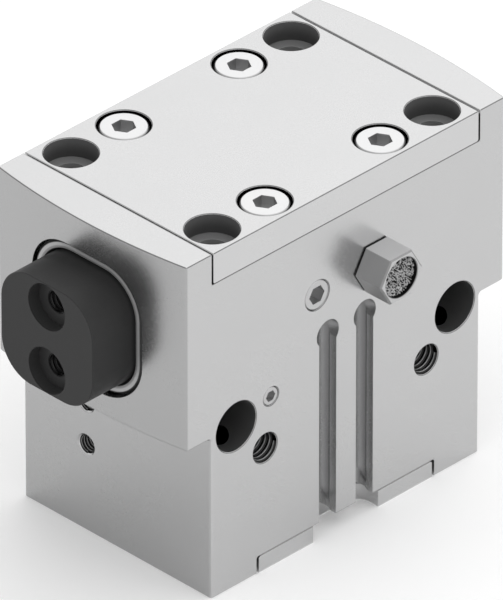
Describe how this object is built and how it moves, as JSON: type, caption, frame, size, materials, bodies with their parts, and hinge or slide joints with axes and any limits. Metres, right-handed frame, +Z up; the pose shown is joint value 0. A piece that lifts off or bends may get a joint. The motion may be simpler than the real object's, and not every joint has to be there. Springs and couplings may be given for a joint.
{
  "type": "pneumatic parallel gripper",
  "caption": "Compact pneumatic parallel gripper: a stepped silver body with a cover plate, and black jaws sliding out of both ends, driven by one piston through a slotted plate.",
  "frame": {"origin": "middle of the bottom face, on the cylinder's axis", "axes": "+Z up, along the piston; X along the travel of the jaws; -Y is the front, with the sensor slots and the vent filter"},
  "size_m": [0.077, 0.0405, 0.0545],
  "materials": {
    "body_metal": "blasted and anodised, natural silver, satin",
    "cover_metal": "blasted and anodised, natural silver, satin",
    "jaw_black": "steel with a matt black oxide finish",
    "bright_steel": "bright stainless steel",
    "dark_steel": "ground steel",
    "filter_metal": "nickel-plated",
    "sintered_metal": "open-pored sintered beads",
    "wiper_metal": "satin",
    "seal_rubber": "black nitrile rubber",
    "bush_bronze": "plain bearing bronze",
    "magnet_grey": "magnet ring, dark grey"
  },
  "bodies": {
    "body": {"housing": "body_metal", "cover_plate": "cover_metal", "cover_screws": "bright_steel", "bottom_cap": "body_metal", "bottom_cap_screws": "bright_steel", "bottom_cap_seal": "seal_rubber", "rod_seal": "seal_rubber", "rod_bush": "bush_bronze", "bumper_lower": "seal_rubber", "bumper_upper": "seal_rubber", "vent_filter_body": "filter_metal", "vent_filter_core": "sintered_metal", "port_plug": "bright_steel", "channel_plug": "bright_steel", "guide_bush_left": "bush_bronze", "guide_bush_right": "bush_bronze", "wiper_seal_left": "seal_rubber", "wiper_seal_right": "seal_rubber", "wiper_frame_left": "wiper_metal", "wiper_frame_right": "wiper_metal"},
    "piston_body": {"piston": "cover_metal", "piston_magnet": "magnet_grey", "piston_seal": "seal_rubber", "piston_rod": "dark_steel", "piston_screw": "bright_steel", "drive_plate": "dark_steel"},
    "left_jaw_body": {"jaw_left": "jaw_black", "drive_pin_left": "dark_steel"},
    "right_jaw_body": {"jaw_right": "jaw_black", "drive_pin_right": "dark_steel"}
  },
  "joints": [
    {"name": "piston_slide", "type": "slide", "parent": "body", "child": "piston_body", "axis": [0, 0, 1], "range_m": [0, 0.006]},
    {"name": "jaw_left_slide", "type": "slide", "parent": "body", "child": "left_jaw_body", "axis": [1, 0, 0], "range_m": [0, 0.005]},
    {"name": "jaw_right_slide", "type": "slide", "parent": "body", "child": "right_jaw_body", "axis": [-1, 0, 0], "range_m": [0, 0.005]}
  ],
  "couplings": [
    {"joint": "jaw_left_slide", "follows": "piston_slide", "ratio": 0.8333},
    {"joint": "jaw_right_slide", "follows": "piston_slide", "ratio": 0.8333}
  ]
}
